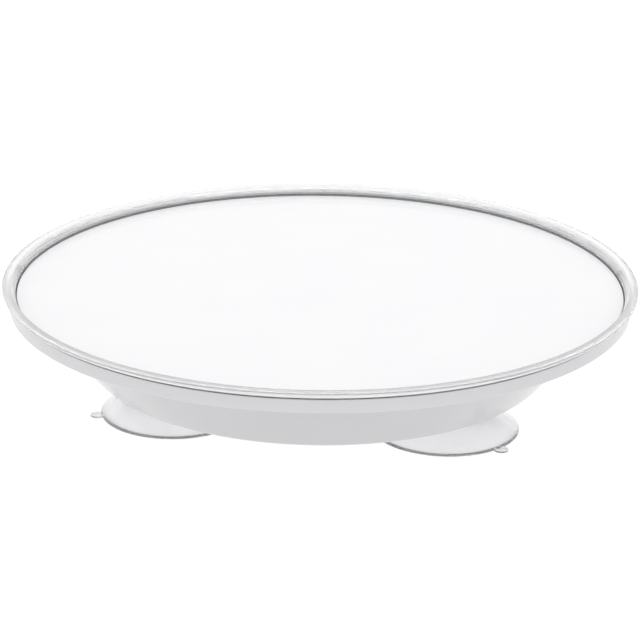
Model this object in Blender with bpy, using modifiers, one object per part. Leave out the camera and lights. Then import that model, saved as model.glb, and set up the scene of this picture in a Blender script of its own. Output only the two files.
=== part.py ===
"""Lazy susan turntable, 300 mm across, that stands on three clear suction cups.

A white plate lies in a white platter, inside a clear lip. The platter turns on a ring of steel
balls between two steel races, over a bowl-shaped base. A screw and a washer under the plate keep
the two together. Metres, +Z up. The origin is on the floor, on the axis that the platter turns on.
The front is -Y: two of the cups stand there, and the third is at the back.
"""

import math

import bmesh
import bpy
from mathutils import Matrix

MM = 0.001

# Clearances and facets
GAP = 0.3 * MM  # between pieces that touch
MERGE = 1e-6
RING_STEPS = 48
CUP_STEPS = 28
SMALL_STEPS = 16
POCKET_STEPS = 12
ARC_STEPS = 3
BALL_SEGMENTS = 10
BALL_RINGS = 6

# Clear lip and the seal under it
LIP_RADIUS = 150.0 * MM
LIP_TOP = 58.8 * MM
LIP_TOP_INNER_RADIUS = 145.8 * MM
LIP_FOOT = 55.7 * MM
LIP_LEG_BOTTOM = 54.6 * MM
LIP_LEG_INNER_RADIUS = 143.9 * MM
LIP_LEG_OUTER_RADIUS = 144.6 * MM
LIP_FOOT_OUTER_RADIUS = 147.0 * MM
LIP_OUTER_ROUND = 0.7 * MM
LIP_INNER_ROUND = 0.4 * MM
SEAL_THICKNESS = 0.3 * MM
SEAL_TIP_INSET = 0.1 * MM

# Platter and what lies on it
PLATTER_RADIUS = 147.2 * MM
PLATTER_BOTTOM = 48.5 * MM
PLATTER_ROUND = 0.8 * MM
PLATTER_WALL = 1.7 * MM
PLATTER_WALL_TOP = 54.8 * MM
PLATTER_WALL_ROUND = 0.4 * MM
DECK_TOP = 50.9 * MM
PLATE_RADIUS = 143.5 * MM
PLATE_TOP = 53.8 * MM
PLATE_ROUND = 0.5 * MM

# Platter's underside
HUB_RADIUS = 12.0 * MM
HUB_BOTTOM = 38.0 * MM
HUB_LEDGE = 46.6 * MM
COUNTERBORE_RADIUS = 9.0 * MM
SKIRT_RIB_RADIUS = 124.0 * MM
UNDER_RIB_BOTTOM = 45.5 * MM
PLATTER_RIB_COUNT = 8

# Base
BASE_BOTTOM = 16.6 * MM
BASE_TOP = 48.0 * MM
BASE_BOTTOM_RADIUS = 107.9 * MM
BASE_TOP_RADIUS = 134.5 * MM
BASE_WALL = 3.0 * MM
BASE_FLOOR = 2.6 * MM
BASE_ROUND = 6.0 * MM
BASE_LIP_ROUND = 0.5 * MM
BASE_RIB_COUNT = 6
BASE_RIB_TOP = 29.0 * MM

# Ball bearing
BALL_RADIUS = 3.0 * MM
BALL_CIRCLE_RADIUS = 92.0 * MM
BALL_COUNT = 16
BALL_HEIGHT = 40.5 * MM
RACE_INNER_RADIUS = 84.0 * MM
RACE_OUTER_RADIUS = 101.5 * MM
RACE_THICKNESS = 2.2 * MM
RACE_OFFSET = 2.0 * MM  # from the balls' centres to each race's face
CAGE_HALF_WIDTH = 6.0 * MM
CAGE_THICKNESS = 1.6 * MM
SEAT_WALL = 2.2 * MM
SEAT_THICKNESS = 2.6 * MM

# Pivot
POST_RADIUS = 6.0 * MM
POST_CLEARANCE = 0.4 * MM
POST_HOLLOW_RADIUS = 3.6 * MM
POST_HOLLOW_TOP = 36.0 * MM
PIVOT_RADIUS = 1.6 * MM
PIVOT_LENGTH = 11.0 * MM
PIVOT_HEAD_RADIUS = 4.2 * MM
PIVOT_HEAD = 1.9 * MM
WASHER_RADIUS = 8.4 * MM
WASHER_THICKNESS = 1.0 * MM

# Race screws
SCREW_COUNT = 4
SCREW_CIRCLE_RADIUS = 97.8 * MM
SCREW_RADIUS = 1.4 * MM
SCREW_HEAD_RADIUS = 2.4 * MM
SCREW_HEAD = 1.4 * MM
SCREW_LENGTH = 6.5 * MM
SCREW_BOSS_RADIUS = 3.6 * MM
SCREW_BOSS_FLOOR = 1.5 * MM
LOWER_SCREW_TURN = math.radians(45.0)

# Ribs
RIB_THICKNESS = 1.6 * MM
RIB_OVERLAP = 0.6 * MM

# Suction cups
CUP_CIRCLE_RADIUS = 73.7 * MM
CUP_RADIUS = 34.5 * MM
CUP_LIP_WIDTH = 2.6 * MM
CUP_EDGE = 0.8 * MM
CUP_CROWN_RADIUS = 11.0 * MM
CUP_CROWN = 14.6 * MM
CUP_HOLLOW = 9.2 * MM
CUP_DOME_DROP = 0.35  # how far the dome sags under a straight cone, as a share of its height
NECK_RADIUS = 6.7 * MM
SOCKET_RADIUS = 7.0 * MM
CUP_HEAD_RADIUS = 8.6 * MM
CUP_HEAD_TOP = 25.0 * MM
CUP_HEAD_SIDE = 2.4 * MM
CUP_HEAD_FLAT_RADIUS = 5.2 * MM
TAB_RADIUS = 3.4 * MM
TAB_REACH = 36.4 * MM
TAB_BOTTOM = 0.25 * MM
TAB_TOP = 1.0 * MM
# name, bearing of the cup from the front (-Y) towards +X, bearing that its pull tab points to
CUPS = (
    ("left", -60.0, -70.0),
    ("right", 60.0, 49.5),
    ("rear", 180.0, 197.0),
)

# colour, roughness, metallic, transmission
FINISHES = {
    "gloss_white_plate": ((0.93, 0.93, 0.94), 0.08, 0.0, 0.0),
    "white_plastic": ((0.86, 0.86, 0.87), 0.30, 0.0, 0.0),
    "clear_acrylic": ((0.95, 0.97, 0.97), 0.04, 0.0, 0.85),
    "grey_gasket": ((0.27, 0.28, 0.28), 0.55, 0.0, 0.0),
    "clear_pvc": ((0.90, 0.90, 0.95), 0.15, 0.0, 0.80),
    "steel_race": ((0.62, 0.62, 0.63), 0.30, 1.0, 0.0),
    "steel_ball": ((0.72, 0.72, 0.74), 0.10, 1.0, 0.0),
    "cage_plastic": ((0.80, 0.80, 0.78), 0.45, 0.0, 0.0),
    "zinc_screw": ((0.66, 0.67, 0.70), 0.25, 1.0, 0.0),
}


def clear_scene():
    for obj in list(bpy.data.objects):
        bpy.data.objects.remove(obj, do_unlink=True)


def new_collection(name):
    collection = bpy.data.collections.new(name)
    bpy.context.scene.collection.children.link(collection)
    return collection


def make_material(name):
    colour, roughness, metallic, transmission = FINISHES[name]
    material = bpy.data.materials.new(name)
    material.use_nodes = True
    shader = material.node_tree.nodes["Principled BSDF"]
    shader.inputs["Base Color"].default_value = (*colour, 1.0)
    shader.inputs["Roughness"].default_value = roughness
    shader.inputs["Metallic"].default_value = metallic
    shader.inputs["Transmission Weight"].default_value = transmission
    return material


clear_scene()
PARTS = new_collection("lazy_susan_turntable")
CUTTERS = new_collection("cutters")
MATERIALS = {name: make_material(name) for name in FINISHES}


# ---------------------------------------------------------------- shapes


def arc(centre, radii, start, end, steps=ARC_STEPS):
    """Points of an ellipse's arc, in degrees from +X towards +Z."""
    angles = [math.radians(start + (end - start) * i / steps) for i in range(steps + 1)]
    return [(centre[0] + radii[0] * math.cos(a), centre[1] + radii[1] * math.sin(a)) for a in angles]


def bearing_point(radius, degrees):
    """The point at this bearing from the front (-Y) towards +X."""
    angle = math.radians(degrees)
    return radius * math.sin(angle), -radius * math.cos(angle)


def circle_points(radius, count, turn=0.0):
    """Evenly spaced points round the axis, each with its angle from +X."""
    angles = [turn + math.tau * i / count for i in range(count)]
    return [(radius * math.cos(a), radius * math.sin(a), a) for a in angles]


def add_part(name, mesh, finish, location=(0.0, 0.0, 0.0), parent=None):
    obj = bpy.data.objects.new(name, mesh)
    obj.location = location
    obj.parent = parent
    mesh.materials.append(MATERIALS[finish])
    PARTS.objects.link(obj)
    return obj


def turned(name, profile, steps, finish, location=(0.0, 0.0, 0.0), parent=None):
    """A solid turned about its own Z axis from (radius, height) points.

    The points run down the outer side. A profile that starts and ends on the axis is left open
    there, and any other is closed into a ring.
    """
    mesh = bpy.data.meshes.new(name)
    edges = [(i, i + 1) for i in range(len(profile) - 1)]
    if profile[0][0] > 0.0:
        edges.append((len(profile) - 1, 0))
    mesh.from_pydata([(r, 0.0, z) for r, z in profile], edges, [])
    obj = add_part(name, mesh, finish, location, parent)
    screw = obj.modifiers.new("turn", "SCREW")
    screw.steps = steps
    screw.render_steps = steps
    screw.use_merge_vertices = True
    screw.merge_threshold = MERGE
    screw.use_smooth_shade = True
    return obj


def helper(name, bm):
    """Turns the mesh into a hidden object for a Boolean to use."""
    bmesh.ops.recalc_face_normals(bm, faces=bm.faces)
    mesh = bpy.data.meshes.new(name)
    bm.to_mesh(mesh)
    bm.free()
    obj = bpy.data.objects.new(name, mesh)
    obj.hide_render = True
    obj.display_type = "WIRE"
    CUTTERS.objects.link(obj)
    return obj


def combine(obj, other, operation):
    boolean = obj.modifiers.new(f"{operation.lower()}_{other.name}", "BOOLEAN")
    boolean.operation = operation
    boolean.object = other
    boolean.solver = "EXACT"


def add_cylinder(bm, x, y, radius, low, high, steps=SMALL_STEPS):
    place = Matrix.Translation((x, y, (low + high) / 2))
    bmesh.ops.create_cone(
        bm, cap_ends=True, segments=steps, radius1=radius, radius2=radius, depth=high - low, matrix=place
    )


def add_rib(bm, angle, inner, outer, low, high):
    """A radial rib between two radii."""
    size = Matrix.Diagonal((outer - inner, RIB_THICKNESS, high - low, 1.0))
    place = Matrix.Translation(((inner + outer) / 2, 0.0, (low + high) / 2))
    bmesh.ops.create_cube(bm, size=1.0, matrix=Matrix.Rotation(angle, 4, "Z") @ place @ size)


def add_spun(bm, profile, x, y, steps=SMALL_STEPS):
    """A turned body with its own axis at (x, y). Its profile starts and ends on that axis."""
    points = [bm.verts.new((x + r, y, z)) for r, z in profile]
    edges = [bm.edges.new(pair) for pair in zip(points, points[1:])]
    bmesh.ops.spin(
        bm, geom=points + edges, cent=(x, y, 0.0), axis=(0.0, 0.0, 1.0), angle=math.tau, steps=steps
    )
    bmesh.ops.remove_doubles(bm, verts=bm.verts, dist=MERGE)


def axis_empty(name, height):
    empty = bpy.data.objects.new(name, None)
    empty.location = (0.0, 0.0, height)
    PARTS.objects.link(empty)
    return empty


# ---------------------------------------------------------------- turntable


def lip_ring(parent):
    """Clear lip: flat on top. Its outside rounds in towards its foot, and a leg reaches inside the wall."""
    inner = (LIP_TOP_INNER_RADIUS + LIP_INNER_ROUND, LIP_TOP - LIP_INNER_ROUND)
    outer = (LIP_RADIUS - LIP_OUTER_ROUND, LIP_TOP - LIP_OUTER_ROUND)
    under = (LIP_FOOT_OUTER_RADIUS, outer[1])
    under_radii = (LIP_RADIUS - under[0], under[1] - LIP_FOOT)
    profile = arc(inner, (LIP_INNER_ROUND, LIP_INNER_ROUND), 180, 90)
    profile += arc(outer, (LIP_OUTER_ROUND, LIP_OUTER_ROUND), 90, 0)
    profile += arc(under, under_radii, 0, -90, ARC_STEPS + 1)[1:]
    profile += [
        (LIP_LEG_OUTER_RADIUS, LIP_FOOT),
        (LIP_LEG_OUTER_RADIUS, LIP_LEG_BOTTOM),
        (LIP_LEG_INNER_RADIUS, LIP_LEG_BOTTOM),
    ]
    turned("lip_ring", profile, RING_STEPS, "clear_acrylic", parent=parent)


def lip_gasket(parent):
    """Grey seal: upright between plate and wall, up round the lip's leg, then out over the wall's top."""
    inner = PLATE_RADIUS + GAP
    riser = LIP_LEG_OUTER_RADIUS + GAP
    outer = PLATTER_RADIUS - PLATTER_WALL - GAP
    tip = LIP_FOOT_OUTER_RADIUS - SEAL_TIP_INSET
    low = DECK_TOP + GAP
    step = LIP_LEG_BOTTOM - GAP
    high = LIP_FOOT - GAP
    profile = [(inner, step), (riser, step), (riser, high), (tip, high)]
    profile += [(tip, high - SEAL_THICKNESS), (outer, high - SEAL_THICKNESS), (outer, low), (inner, low)]
    turned("lip_gasket", profile, RING_STEPS, "grey_gasket", parent=parent)


def top_plate(parent):
    low = DECK_TOP + GAP
    rounding = (PLATE_ROUND, PLATE_ROUND)
    profile = [(0.0, PLATE_TOP)]
    profile += arc((PLATE_RADIUS - PLATE_ROUND, PLATE_TOP - PLATE_ROUND), rounding, 90, 0, 2)
    profile += [(PLATE_RADIUS, low), (0.0, low)]
    turned("top_plate", profile, RING_STEPS, "gloss_white_plate", parent=parent)


def race_face(upper):
    return BALL_HEIGHT + (RACE_OFFSET if upper else -RACE_OFFSET)


def race_back(upper):
    return race_face(upper) + (RACE_THICKNESS if upper else -RACE_THICKNESS)


def screw_profile(upper, grow=0.0, beyond=0.0):
    """A countersunk screw on its own axis, its head flush with the race's face.

    grow widens it all over and beyond lengthens both its ends, which makes the hole's shape.
    """
    way = 1.0 if upper else -1.0
    face = race_face(upper)
    points = [
        (0.0, face - way * beyond),
        (SCREW_HEAD_RADIUS + grow, face - way * beyond),
        (SCREW_HEAD_RADIUS + grow, face),
        (SCREW_RADIUS + grow, face + way * SCREW_HEAD),
        (SCREW_RADIUS + grow, face + way * (SCREW_LENGTH + beyond)),
        (0.0, face + way * (SCREW_LENGTH + beyond)),
    ]
    if not beyond:
        points.pop(2)
    return points[::-1] if upper else points


def screw_places(upper):
    return circle_points(SCREW_CIRCLE_RADIUS, SCREW_COUNT, 0.0 if upper else LOWER_SCREW_TURN)


def screw_holes(upper):
    bm = bmesh.new()
    for x, y, _ in screw_places(upper):
        add_spun(bm, screw_profile(upper, GAP, 2 * GAP), x, y)
    return helper("upper_screw_holes" if upper else "lower_screw_holes", bm)


def screw_bosses(upper, low, high):
    bm = bmesh.new()
    for x, y, _ in screw_places(upper):
        add_cylinder(bm, x, y, SCREW_BOSS_RADIUS, low, high)
    return helper("upper_screw_bosses" if upper else "lower_screw_bosses", bm)


def race_screws(upper, parent=None):
    side = "upper" if upper else "lower"
    for number, (x, y, _) in enumerate(screw_places(upper), 1):
        name = f"{side}_race_screw_{number}"
        turned(name, screw_profile(upper), SMALL_STEPS, "zinc_screw", (x, y, 0.0), parent)


def race(upper, holes, parent=None):
    """A flat steel ring with a round groove for the balls, and countersunk screw holes."""
    face, back = race_face(False), race_back(False)
    groove = BALL_RADIUS + GAP
    edge = math.degrees(math.asin(RACE_OFFSET / groove))
    profile = [(RACE_INNER_RADIUS, face)]
    profile += arc((BALL_CIRCLE_RADIUS, BALL_HEIGHT), (groove, groove), 180 + edge, 360 - edge, 4)
    profile += [(RACE_OUTER_RADIUS, face), (RACE_OUTER_RADIUS, back), (RACE_INNER_RADIUS, back)]
    if upper:
        profile = [(r, 2 * BALL_HEIGHT - z) for r, z in reversed(profile)]
    name = "upper_race" if upper else "lower_race"
    ring = turned(name, profile, RING_STEPS, "steel_race", parent=parent)
    combine(ring, holes, "DIFFERENCE")


def platter_ribs():
    bm = bmesh.new()
    high = PLATTER_BOTTOM + RIB_OVERLAP
    inner_end = RACE_INNER_RADIUS + RIB_OVERLAP
    outer_start = RACE_OUTER_RADIUS - RIB_OVERLAP
    for _, _, angle in circle_points(1.0, PLATTER_RIB_COUNT, math.pi / PLATTER_RIB_COUNT):
        add_rib(bm, angle, HUB_RADIUS - RIB_OVERLAP, inner_end, UNDER_RIB_BOTTOM, high)
        add_rib(bm, angle, outer_start, SKIRT_RIB_RADIUS, UNDER_RIB_BOTTOM, high)
    return helper("platter_ribs", bm)


def platter(holes, parent):
    """White dish: deck, outer wall, a hub round the base's post, and ribs that carry the race."""
    seat = race_back(True) + GAP
    bore = POST_RADIUS + POST_CLEARANCE
    inner_wall = PLATTER_RADIUS - PLATTER_WALL
    low_corner = (PLATTER_RADIUS - PLATTER_ROUND, PLATTER_BOTTOM + PLATTER_ROUND)
    skirt_inner = SKIRT_RIB_RADIUS - RIB_THICKNESS / 2
    skirt_outer = SKIRT_RIB_RADIUS + RIB_THICKNESS / 2
    profile = [
        (COUNTERBORE_RADIUS, DECK_TOP),
        (inner_wall, DECK_TOP),
        (inner_wall, PLATTER_WALL_TOP),
        (PLATTER_RADIUS - PLATTER_WALL_ROUND, PLATTER_WALL_TOP),
        (PLATTER_RADIUS, PLATTER_WALL_TOP - PLATTER_WALL_ROUND),
    ]
    profile += arc(low_corner, (PLATTER_ROUND, PLATTER_ROUND), 0, -90, 2)
    profile += [
        (skirt_outer, PLATTER_BOTTOM),
        (skirt_outer, seat),
        (skirt_inner, seat),
        (skirt_inner, PLATTER_BOTTOM),
        (RACE_OUTER_RADIUS, PLATTER_BOTTOM),
        (RACE_OUTER_RADIUS, seat),
        (RACE_OUTER_RADIUS - SEAT_WALL, seat),
        (RACE_OUTER_RADIUS - SEAT_WALL, PLATTER_BOTTOM),
        (RACE_INNER_RADIUS + SEAT_WALL, PLATTER_BOTTOM),
        (RACE_INNER_RADIUS + SEAT_WALL, seat),
        (RACE_INNER_RADIUS, seat),
        (RACE_INNER_RADIUS, PLATTER_BOTTOM),
        (HUB_RADIUS, PLATTER_BOTTOM),
        (HUB_RADIUS, HUB_BOTTOM),
        (bore, HUB_BOTTOM),
        (bore, HUB_LEDGE),
        (COUNTERBORE_RADIUS, HUB_LEDGE),
    ]
    dish = turned("platter", profile, RING_STEPS, "white_plastic", parent=parent)
    combine(dish, platter_ribs(), "UNION")
    combine(dish, screw_bosses(True, seat, PLATTER_BOTTOM + RIB_OVERLAP), "UNION")
    combine(dish, holes, "DIFFERENCE")


# ---------------------------------------------------------------- ball cage


def ball_cage(parent):
    half = CAGE_THICKNESS / 2
    inner = BALL_CIRCLE_RADIUS - CAGE_HALF_WIDTH
    outer = BALL_CIRCLE_RADIUS + CAGE_HALF_WIDTH
    profile = [(inner, half), (outer, half), (outer, -half), (inner, -half)]
    cage = turned("ball_cage", profile, RING_STEPS, "cage_plastic", parent=parent)
    bm = bmesh.new()
    for x, y, _ in circle_points(BALL_CIRCLE_RADIUS, BALL_COUNT):
        low, high = BALL_HEIGHT - CAGE_THICKNESS, BALL_HEIGHT + CAGE_THICKNESS
        add_cylinder(bm, x, y, BALL_RADIUS + GAP, low, high, POCKET_STEPS)
    combine(cage, helper("ball_pockets", bm), "DIFFERENCE")


def balls(parent):
    for number, (x, y, _) in enumerate(circle_points(BALL_CIRCLE_RADIUS, BALL_COUNT), 1):
        name = f"ball_{number:02d}"
        bm = bmesh.new()
        bmesh.ops.create_uvsphere(bm, u_segments=BALL_SEGMENTS, v_segments=BALL_RINGS, radius=BALL_RADIUS)
        mesh = bpy.data.meshes.new(name)
        bm.to_mesh(mesh)
        bm.free()
        mesh.shade_smooth()
        add_part(name, mesh, "steel_ball", (x, y, 0.0), parent)


# ---------------------------------------------------------------- base


def base_ribs():
    bm = bmesh.new()
    low = BASE_BOTTOM + BASE_FLOOR - RIB_OVERLAP
    for _, _, angle in circle_points(1.0, BASE_RIB_COUNT):
        add_rib(bm, angle, POST_RADIUS - RIB_OVERLAP, RACE_INNER_RADIUS + RIB_OVERLAP, low, BASE_RIB_TOP)
    return helper("base_ribs", bm)


def cup_sockets():
    bm = bmesh.new()
    for _, bearing, _ in CUPS:
        x, y = bearing_point(CUP_CIRCLE_RADIUS, bearing)
        add_cylinder(bm, x, y, SOCKET_RADIUS, BASE_BOTTOM - GAP, BASE_BOTTOM + BASE_FLOOR + GAP, CUP_STEPS)
    return helper("cup_sockets", bm)


def base_bowl(holes):
    """Bowl-shaped base in one moulding: wall, floor, post, and a seat ring under the lower race.

    The seat ring is hollow from below, with a ring rib under the balls.
    """
    floor = BASE_BOTTOM + BASE_FLOOR
    seat = race_back(False) - GAP
    seat_low = seat - SEAT_THICKNESS
    rib_inner = BALL_CIRCLE_RADIUS - SEAT_WALL / 2
    rib_outer = BALL_CIRCLE_RADIUS + SEAT_WALL / 2
    lean = (BASE_TOP_RADIUS - BASE_BOTTOM_RADIUS) / (BASE_TOP - BASE_BOTTOM)
    wall_turn = math.atan(lean)
    wall_foot = BASE_BOTTOM_RADIUS - BASE_WALL + lean * BASE_FLOOR
    pilot = PIVOT_RADIUS + GAP
    post_top = HUB_LEDGE + GAP
    profile = [
        (pilot, post_top),
        (POST_RADIUS, post_top),
        (POST_RADIUS, floor),
        (RACE_INNER_RADIUS, floor),
        (RACE_INNER_RADIUS, seat),
        (RACE_OUTER_RADIUS, seat),
        (RACE_OUTER_RADIUS, floor),
        (wall_foot, floor),
        (BASE_TOP_RADIUS - BASE_WALL, BASE_TOP),
        (BASE_TOP_RADIUS - BASE_LIP_ROUND, BASE_TOP),
        (BASE_TOP_RADIUS - lean * BASE_LIP_ROUND, BASE_TOP - BASE_LIP_ROUND),
    ]
    setback = BASE_ROUND * math.tan(math.pi / 4 - wall_turn / 2)
    low_corner = (BASE_BOTTOM_RADIUS - setback, BASE_BOTTOM + BASE_ROUND)
    profile += arc(low_corner, (BASE_ROUND, BASE_ROUND), -math.degrees(wall_turn), -90)
    profile += [
        (RACE_OUTER_RADIUS - SEAT_WALL, BASE_BOTTOM),
        (RACE_OUTER_RADIUS - SEAT_WALL, seat_low),
        (rib_outer, seat_low),
        (rib_outer, BASE_BOTTOM),
        (rib_inner, BASE_BOTTOM),
        (rib_inner, seat_low),
        (RACE_INNER_RADIUS + SEAT_WALL, seat_low),
        (RACE_INNER_RADIUS + SEAT_WALL, BASE_BOTTOM),
        (POST_HOLLOW_RADIUS, BASE_BOTTOM),
        (POST_HOLLOW_RADIUS, POST_HOLLOW_TOP),
        (pilot, POST_HOLLOW_TOP),
    ]
    bowl = turned("base_bowl", profile, RING_STEPS, "white_plastic")
    boss_low = race_face(False) - SCREW_LENGTH - SCREW_BOSS_FLOOR
    combine(bowl, base_ribs(), "UNION")
    combine(bowl, screw_bosses(False, boss_low, seat_low + RIB_OVERLAP), "UNION")
    combine(bowl, cup_sockets(), "DIFFERENCE")
    combine(bowl, holes, "DIFFERENCE")


def pivot_washer():
    low = HUB_LEDGE + 2 * GAP
    bore = PIVOT_RADIUS + 2 * GAP
    high = low + WASHER_THICKNESS
    profile = [(bore, high), (WASHER_RADIUS, high), (WASHER_RADIUS, low), (bore, low)]
    turned("pivot_washer", profile, SMALL_STEPS, "zinc_screw")


def pivot_screw():
    """Pan-head screw that holds the washer down on the post."""
    head_low = HUB_LEDGE + 3 * GAP + WASHER_THICKNESS
    head_high = head_low + PIVOT_HEAD
    tip = head_low - PIVOT_LENGTH
    rounding = (PIVOT_HEAD / 2, PIVOT_HEAD / 2)
    profile = [(0.0, head_high)]
    profile += arc((PIVOT_HEAD_RADIUS - PIVOT_HEAD / 2, head_high - PIVOT_HEAD / 2), rounding, 90, 0, 2)
    profile += [(PIVOT_HEAD_RADIUS, head_low), (PIVOT_RADIUS, head_low), (PIVOT_RADIUS, tip), (0.0, tip)]
    turned("pivot_screw", profile, SMALL_STEPS, "zinc_screw")


# ---------------------------------------------------------------- suction cups


def cup_profile():
    """Head above the base's floor, neck in the socket, crown under it, thin dome, flat sealing lip."""
    floor_top = BASE_BOTTOM + BASE_FLOOR + GAP
    crown_top = BASE_BOTTOM - GAP
    lip_inner = CUP_RADIUS - CUP_LIP_WIDTH
    dome_steps = 4
    profile = [(0.0, CUP_HEAD_TOP)]
    profile += [(CUP_HEAD_FLAT_RADIUS, CUP_HEAD_TOP), (CUP_HEAD_RADIUS, floor_top + CUP_HEAD_SIDE)]
    profile += [(CUP_HEAD_RADIUS, floor_top), (NECK_RADIUS, floor_top), (NECK_RADIUS, crown_top)]
    profile += [(CUP_CROWN_RADIUS, crown_top)]
    for step in range(dome_steps + 1):
        along = step / dome_steps
        radius = CUP_CROWN_RADIUS + (CUP_RADIUS - CUP_CROWN_RADIUS) * along
        straight = CUP_CROWN + (CUP_EDGE - CUP_CROWN) * along
        profile.append((radius, straight - CUP_DOME_DROP * CUP_CROWN * along * (1 - along)))
    profile += [(CUP_RADIUS, 0.0), (lip_inner, 0.0)]
    for step in range(1, dome_steps + 1):
        along = step / dome_steps
        profile.append((lip_inner * (1 - along), CUP_HOLLOW * math.sin(along * math.pi / 2)))
    return profile


def suction_cup(name, bearing, tab_bearing):
    x, y = bearing_point(CUP_CIRCLE_RADIUS, bearing)
    cup = turned(f"suction_cup_{name}", cup_profile(), CUP_STEPS, "clear_pvc", (x, y, 0.0))
    bm = bmesh.new()
    tab_x, tab_y = bearing_point(TAB_REACH, tab_bearing)
    add_cylinder(bm, x + tab_x, y + tab_y, TAB_RADIUS, TAB_BOTTOM, TAB_TOP)
    combine(cup, helper(f"pull_tab_{name}", bm), "UNION")


def main():
    upper_holes = screw_holes(True)
    lower_holes = screw_holes(False)

    turntable = axis_empty("turntable_axis", 0.0)
    top_plate(turntable)
    lip_ring(turntable)
    lip_gasket(turntable)
    platter(upper_holes, turntable)
    race(True, upper_holes, turntable)
    race_screws(True, turntable)

    cage = axis_empty("cage_axis", BALL_HEIGHT)
    ball_cage(cage)
    balls(cage)

    base_bowl(lower_holes)
    race(False, lower_holes)
    race_screws(False)
    pivot_washer()
    pivot_screw()
    for name, bearing, tab_bearing in CUPS:
        suction_cup(name, bearing, tab_bearing)


main()
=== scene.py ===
"""Looks of the lazy susan turntable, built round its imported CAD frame.

Every CAD node is replaced by a finer mesh of the same piece, in the same place, and each piece has
a procedural material. Metres, +Z up. The front is -Y, and bearings run from there towards +X.
"""

import math

import bmesh
import bpy
from mathutils import Matrix, Vector


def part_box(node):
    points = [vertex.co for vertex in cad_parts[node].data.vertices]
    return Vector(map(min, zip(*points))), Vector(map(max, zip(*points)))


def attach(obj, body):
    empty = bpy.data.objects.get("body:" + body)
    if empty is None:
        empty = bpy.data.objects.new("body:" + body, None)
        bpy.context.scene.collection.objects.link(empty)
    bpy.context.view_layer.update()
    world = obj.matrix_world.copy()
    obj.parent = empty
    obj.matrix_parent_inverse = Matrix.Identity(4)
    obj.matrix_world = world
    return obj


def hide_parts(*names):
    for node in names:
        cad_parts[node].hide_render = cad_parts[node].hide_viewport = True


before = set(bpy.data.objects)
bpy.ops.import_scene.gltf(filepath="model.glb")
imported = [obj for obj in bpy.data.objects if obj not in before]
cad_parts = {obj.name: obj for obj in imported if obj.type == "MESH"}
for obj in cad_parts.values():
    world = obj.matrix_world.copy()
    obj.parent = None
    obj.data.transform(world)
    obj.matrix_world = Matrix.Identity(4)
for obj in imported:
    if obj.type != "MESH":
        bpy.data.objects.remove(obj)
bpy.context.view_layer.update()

MM = 0.001

# Facets
RING_STEPS = 224
LIP_STEPS = 448
CUP_STEPS = 112
SCREW_STEPS = 40
BALL_CUTS = 10
POCKET_STEPS = 40
FILLET_STEPS = 4
ROUND_STEPS = 6
CURVE_STEPS = 14
MERGE = 1e-7  # points nearer than this are one point
SHARP_ANGLE = math.radians(32.0)

# Clearance between pieces, as in the CAD
GAP = 0.3 * MM


def reach(node):
    """Smallest and largest distance of a CAD node's points from the turntable's axis."""
    points = [math.hypot(v.co.x, v.co.y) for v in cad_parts[node].data.vertices]
    return min(points), max(points)


def heights(node):
    """Lowest and highest point of a CAD node."""
    low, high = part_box(node)
    return low.z, high.z


# Clear lip
LIP_LEG_BOTTOM, LIP_TOP = heights("lip_ring")
LIP_LEG_INNER, LIP_RADIUS = reach("lip_ring")
LIP_LEG_OUTER = LIP_LEG_INNER + 0.7 * MM
LIP_FOOT = LIP_LEG_BOTTOM + 1.1 * MM
LIP_FOOT_OUTER = LIP_RADIUS - 3.0 * MM
LIP_TOP_INNER = LIP_RADIUS - 4.2 * MM
LIP_OUTER_ROUND = 0.7 * MM
LIP_INNER_ROUND = 0.4 * MM
LIP_FOOT_ROUND = 0.12 * MM

# Seal under the lip
SEAL_LOW = heights("lip_gasket")[0]
SEAL_INNER = reach("lip_gasket")[0]
SEAL_THICKNESS = 0.3 * MM
SEAL_TIP_INSET = 0.1 * MM
SEAL_ROUND = 0.12 * MM

# Plate
PLATE_LOW, PLATE_TOP = heights("top_plate")
PLATE_RADIUS = reach("top_plate")[1]
PLATE_ROUND = 0.5 * MM
PLATE_UNDER_ROUND = 0.2 * MM

# Platter
HUB_BOTTOM, PLATTER_WALL_TOP = heights("platter")
BORE_RADIUS, PLATTER_RADIUS = reach("platter")
PLATTER_BOTTOM = HUB_BOTTOM + 10.5 * MM
PLATTER_WALL = 1.7 * MM
PLATTER_ROUND = 0.8 * MM
PLATTER_EDGE = 0.4 * MM
PLATTER_FILLET = 0.25 * MM
DECK_TOP = PLATE_LOW - GAP
HUB_RADIUS = 12.0 * MM
HUB_LEDGE = HUB_BOTTOM + 8.6 * MM
COUNTERBORE_RADIUS = 9.0 * MM
SKIRT_RIB_RADIUS = 124.0 * MM
UNDER_RIB_BOTTOM = PLATTER_BOTTOM - 3.0 * MM
PLATTER_RIB_COUNT = 8

# Base
BASE_BOTTOM, BASE_TOP = heights("base_bowl")
BASE_TOP_RADIUS = 134.5 * MM
BASE_FOOT_RADIUS = 107.9 * MM
BASE_WALL = 3.0 * MM
BASE_FLOOR = 2.6 * MM
BASE_ROUND = 6.0 * MM
BASE_EDGE = 0.4 * MM
BASE_FILLET = 0.3 * MM
BASE_CORNER = 0.8 * MM
BASE_RIB_COUNT = 6
BASE_RIB_TOP = 29.0 * MM
POST_RADIUS = 6.0 * MM
POST_HOLLOW_RADIUS = 3.6 * MM
POST_HOLLOW_TOP = 36.0 * MM
SOCKET_RADIUS = 7.0 * MM
SOCKET_LEAD = 0.4 * MM

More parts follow.
